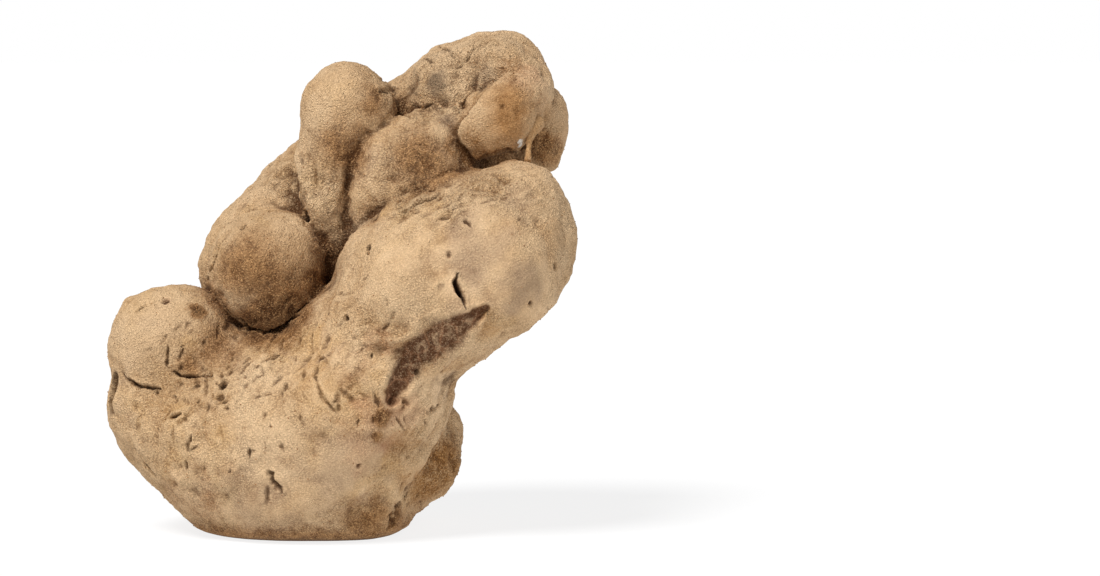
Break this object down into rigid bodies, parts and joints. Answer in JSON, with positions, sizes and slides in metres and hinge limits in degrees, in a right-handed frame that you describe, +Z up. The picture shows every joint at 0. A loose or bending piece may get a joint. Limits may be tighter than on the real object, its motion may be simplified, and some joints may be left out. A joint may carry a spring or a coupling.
{
  "type": "white truffle",
  "caption": "Whole fresh white truffle, lobed and bent like a fist, with dry earthy tan skin, creases, small pits and a worn scar.",
  "frame": {"origin": "the middle of the bounding box, on the plane of the flat spot that the truffle rests on", "axes": "+Z up, along the longest extent; +X to the right of the bent arm's raised end; +Y to the back, along the shortest extent"},
  "size_m": [0.068, 0.0456, 0.0728],
  "materials": {
    "skin": "dry, dusty, velvety tan skin with fine soil grains, dark in the creases and pits"
  },
  "bodies": {
    "root": {"truffle": "skin"}
  },
  "joints": []
}
